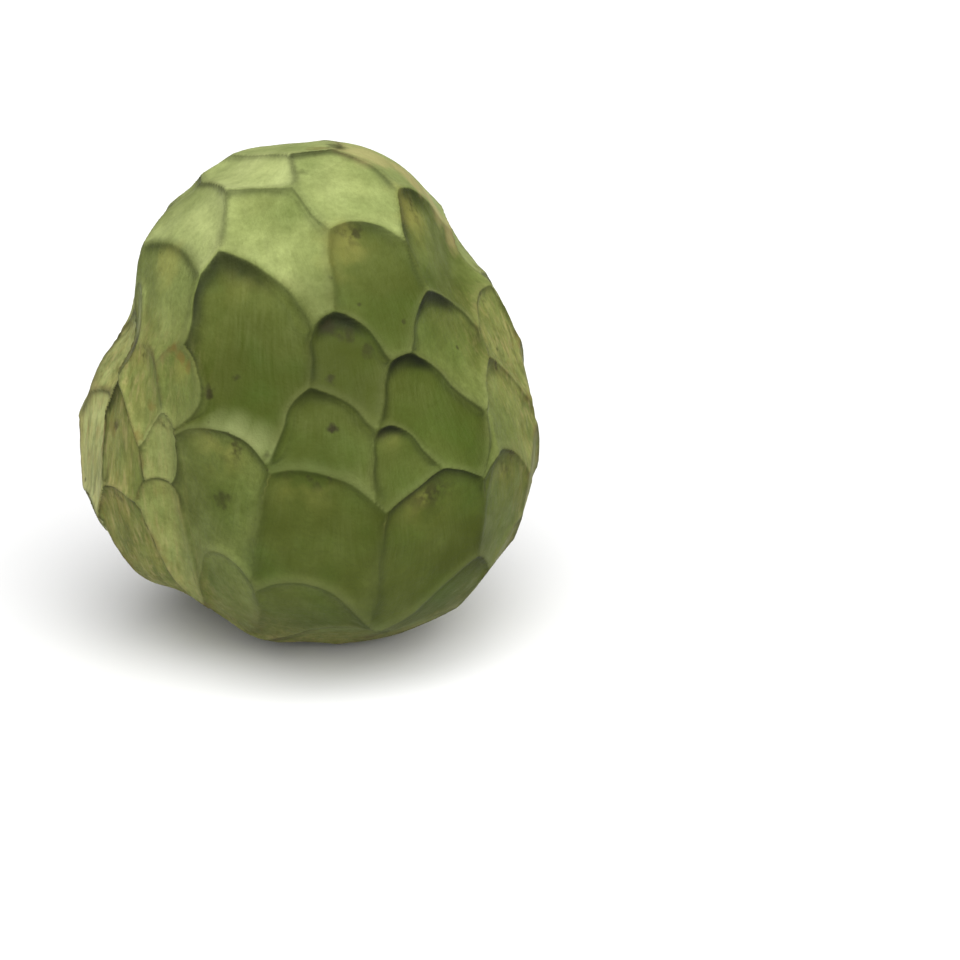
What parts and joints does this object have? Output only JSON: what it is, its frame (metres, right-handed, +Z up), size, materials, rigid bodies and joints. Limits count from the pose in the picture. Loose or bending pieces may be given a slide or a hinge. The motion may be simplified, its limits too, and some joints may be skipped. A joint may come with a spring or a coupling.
{
  "type": "whole custard apple",
  "caption": "Whole custard apple (cherimoya): a rounded heart-shaped green fruit with thumb-print scales, standing on a small flat spot at its stem end.",
  "frame": {"origin": "middle of the flat spot at the stem end, on the surface that the fruit rests on", "axes": "+Z up through the tip of the crown, -Y the front of the fruit, -X its larger shoulder"},
  "size_m": [0.1039, 0.1094, 0.1151],
  "materials": {
    "green_skin": null
  },
  "bodies": {
    "root": {"custard_apple": "green_skin"}
  },
  "joints": []
}
